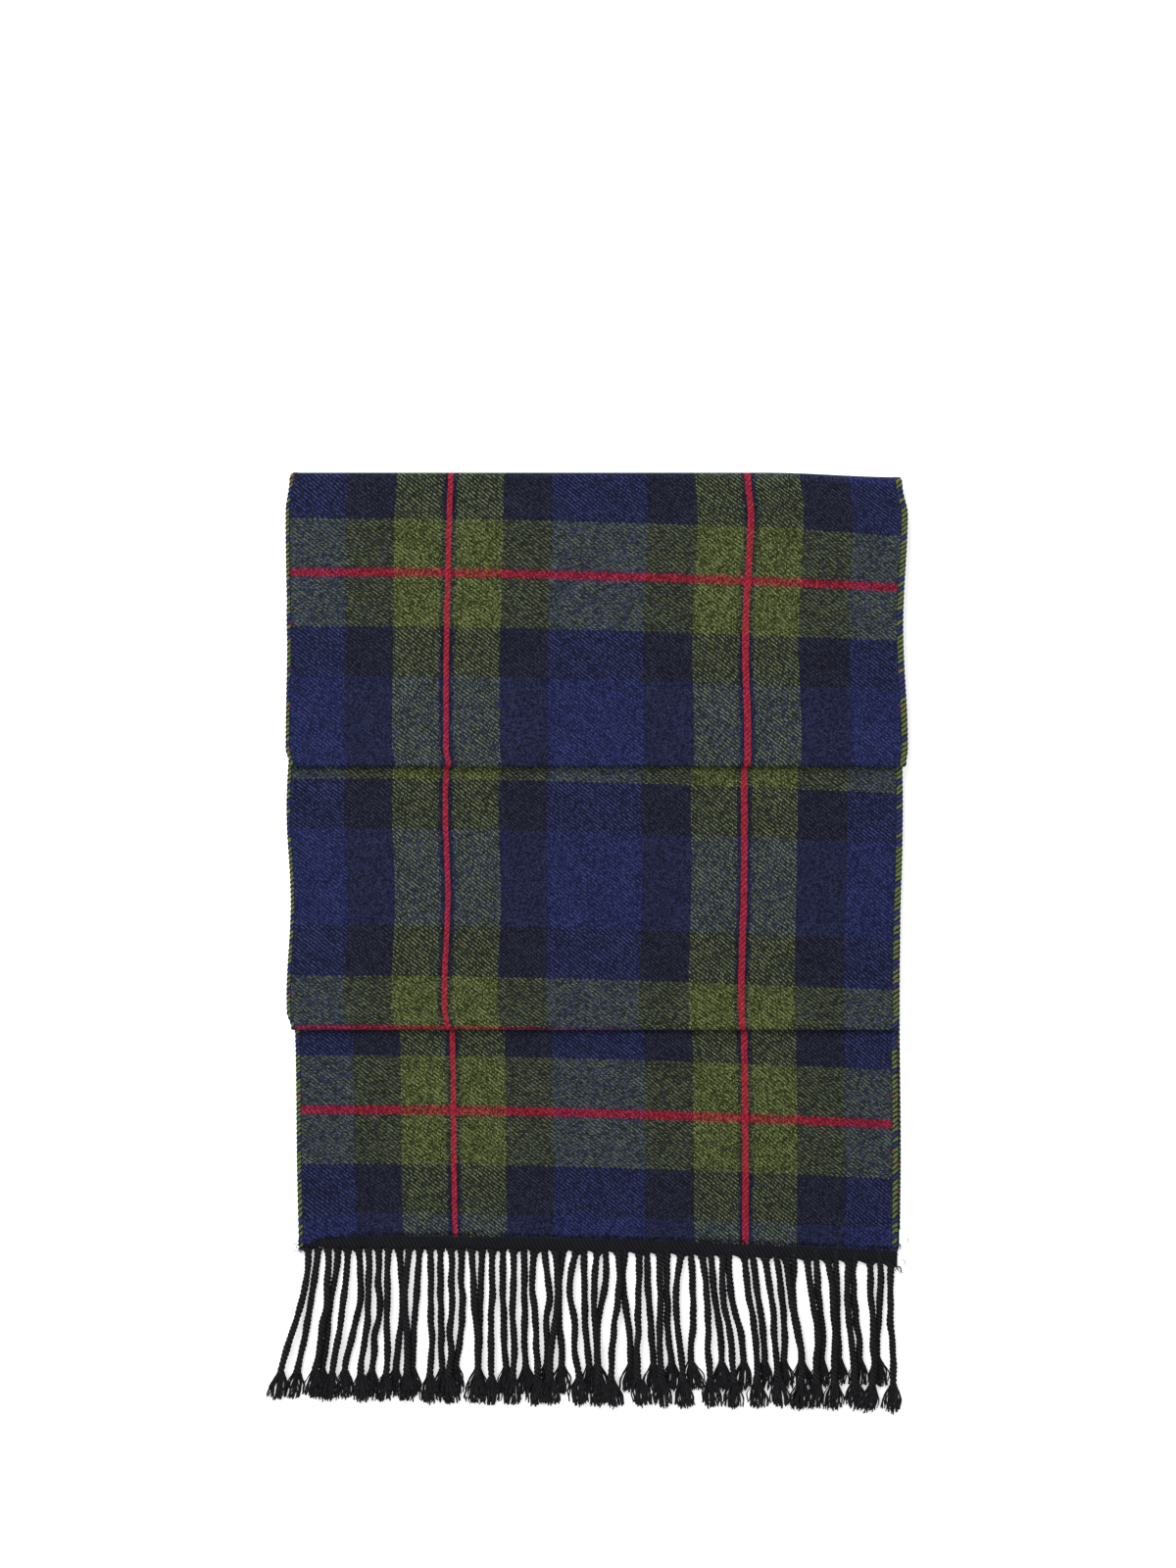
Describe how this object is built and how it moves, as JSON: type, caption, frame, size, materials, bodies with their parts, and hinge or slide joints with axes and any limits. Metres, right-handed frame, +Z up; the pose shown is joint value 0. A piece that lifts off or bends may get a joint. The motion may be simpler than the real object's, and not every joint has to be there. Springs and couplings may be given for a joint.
{
  "type": "folded fringed throw scarf",
  "caption": "Woven check wool throw scarf folded into stepped tiers, with plain dark headers and long twisted tassel fringes.",
  "frame": {"origin": "middle of the footprint of the folded throw, tassels included, on the surface it lies on", "axes": "+X across the cloth, +Y from the fringe towards the top fold, +Z up out of the pile"},
  "size_m": [0.3354, 0.494, 0.0087],
  "materials": {
    "cloth": "soft wool twill check",
    "header": "brushed wool, plain",
    "fringe": "twisted wool yarn"
  },
  "bodies": {
    "back_leaf": {"back_leaf": "cloth", "back_header": "header", "outer_top_fold": "cloth"},
    "top_flap": {"top_flap_upper_leaf": "cloth", "top_flap_lower_leaf": "cloth", "top_flap_edge_fold": "cloth", "upper_inner_fold": "cloth"},
    "middle_flap": {"middle_flap_upper_leaf": "cloth", "middle_flap_lower_leaf": "cloth", "middle_flap_edge_fold": "cloth", "lower_inner_fold": "cloth"},
    "front_leaf": {"front_leaf": "cloth", "front_header": "header"},
    "front_fringe": {"front_tassel_01": "fringe", "front_tassel_02": "fringe", "front_tassel_03": "fringe", "front_tassel_04": "fringe", "front_tassel_05": "fringe", "front_tassel_06": "fringe", "front_tassel_07": "fringe", "front_tassel_08": "fringe", "front_tassel_09": "fringe", "front_tassel_10": "fringe", "front_tassel_11": "fringe", "front_tassel_12": "fringe", "front_tassel_13": "fringe", "front_tassel_14": "fringe", "front_tassel_15": "fringe", "front_tassel_16": "fringe", "front_tassel_17": "fringe", "front_tassel_18": "fringe", "front_tassel_19": "fringe", "front_tassel_20": "fringe", "front_tassel_21": "fringe", "front_tassel_22": "fringe", "front_tassel_23": "fringe", "front_tassel_24": "fringe", "front_tassel_25": "fringe", "front_tassel_26": "fringe", "front_tassel_27": "fringe", "front_tassel_28": "fringe", "front_tassel_29": "fringe"},
    "back_fringe": {"back_tassel_pair_01": "fringe", "back_tassel_pair_02": "fringe", "back_tassel_pair_03": "fringe", "back_tassel_pair_04": "fringe", "back_tassel_pair_05": "fringe", "back_tassel_pair_06": "fringe", "back_tassel_pair_07": "fringe", "back_tassel_pair_08": "fringe", "back_tassel_pair_09": "fringe", "back_tassel_pair_10": "fringe", "back_tassel_pair_11": "fringe", "back_tassel_pair_12": "fringe", "back_tassel_pair_13": "fringe", "back_tassel_pair_14": "fringe"}
  },
  "joints": [
    {"name": "outer_top_fold_open", "type": "hinge", "parent": "back_leaf", "child": "top_flap", "pos_m": [0.0049, 0.2426, 0.00435], "axis": [-1, 0, 0], "range_deg": [0, 180], "deforming": ["outer_top_fold"]},
    {"name": "upper_inner_fold_open", "type": "hinge", "parent": "top_flap", "child": "middle_flap", "pos_m": [0.0049, 0.2426, 0.00585], "axis": [-1, 0, 0], "range_deg": [-180, 0], "deforming": ["upper_inner_fold"]},
    {"name": "lower_inner_fold_open", "type": "hinge", "parent": "middle_flap", "child": "front_leaf", "pos_m": [0.0049, 0.2426, 0.00285], "axis": [-1, 0, 0], "range_deg": [-180, 0], "deforming": ["lower_inner_fold"]},
    {"name": "front_fringe_lift", "type": "hinge", "parent": "front_leaf", "child": "front_fringe", "pos_m": [0.0049, -0.16435, 0.0045], "axis": [-1, 0, 0], "range_deg": [0, 150]},
    {"name": "back_fringe_drop", "type": "hinge", "parent": "back_leaf", "child": "back_fringe", "pos_m": [0.0049, -0.16435, 0], "axis": [-1, 0, 0], "range_deg": [-90, 0]}
  ],
  "couplings": [
    {"joint": "upper_inner_fold_open", "follows": "outer_top_fold_open", "ratio": -0.3333},
    {"joint": "lower_inner_fold_open", "follows": "outer_top_fold_open", "ratio": -0.3333}
  ]
}
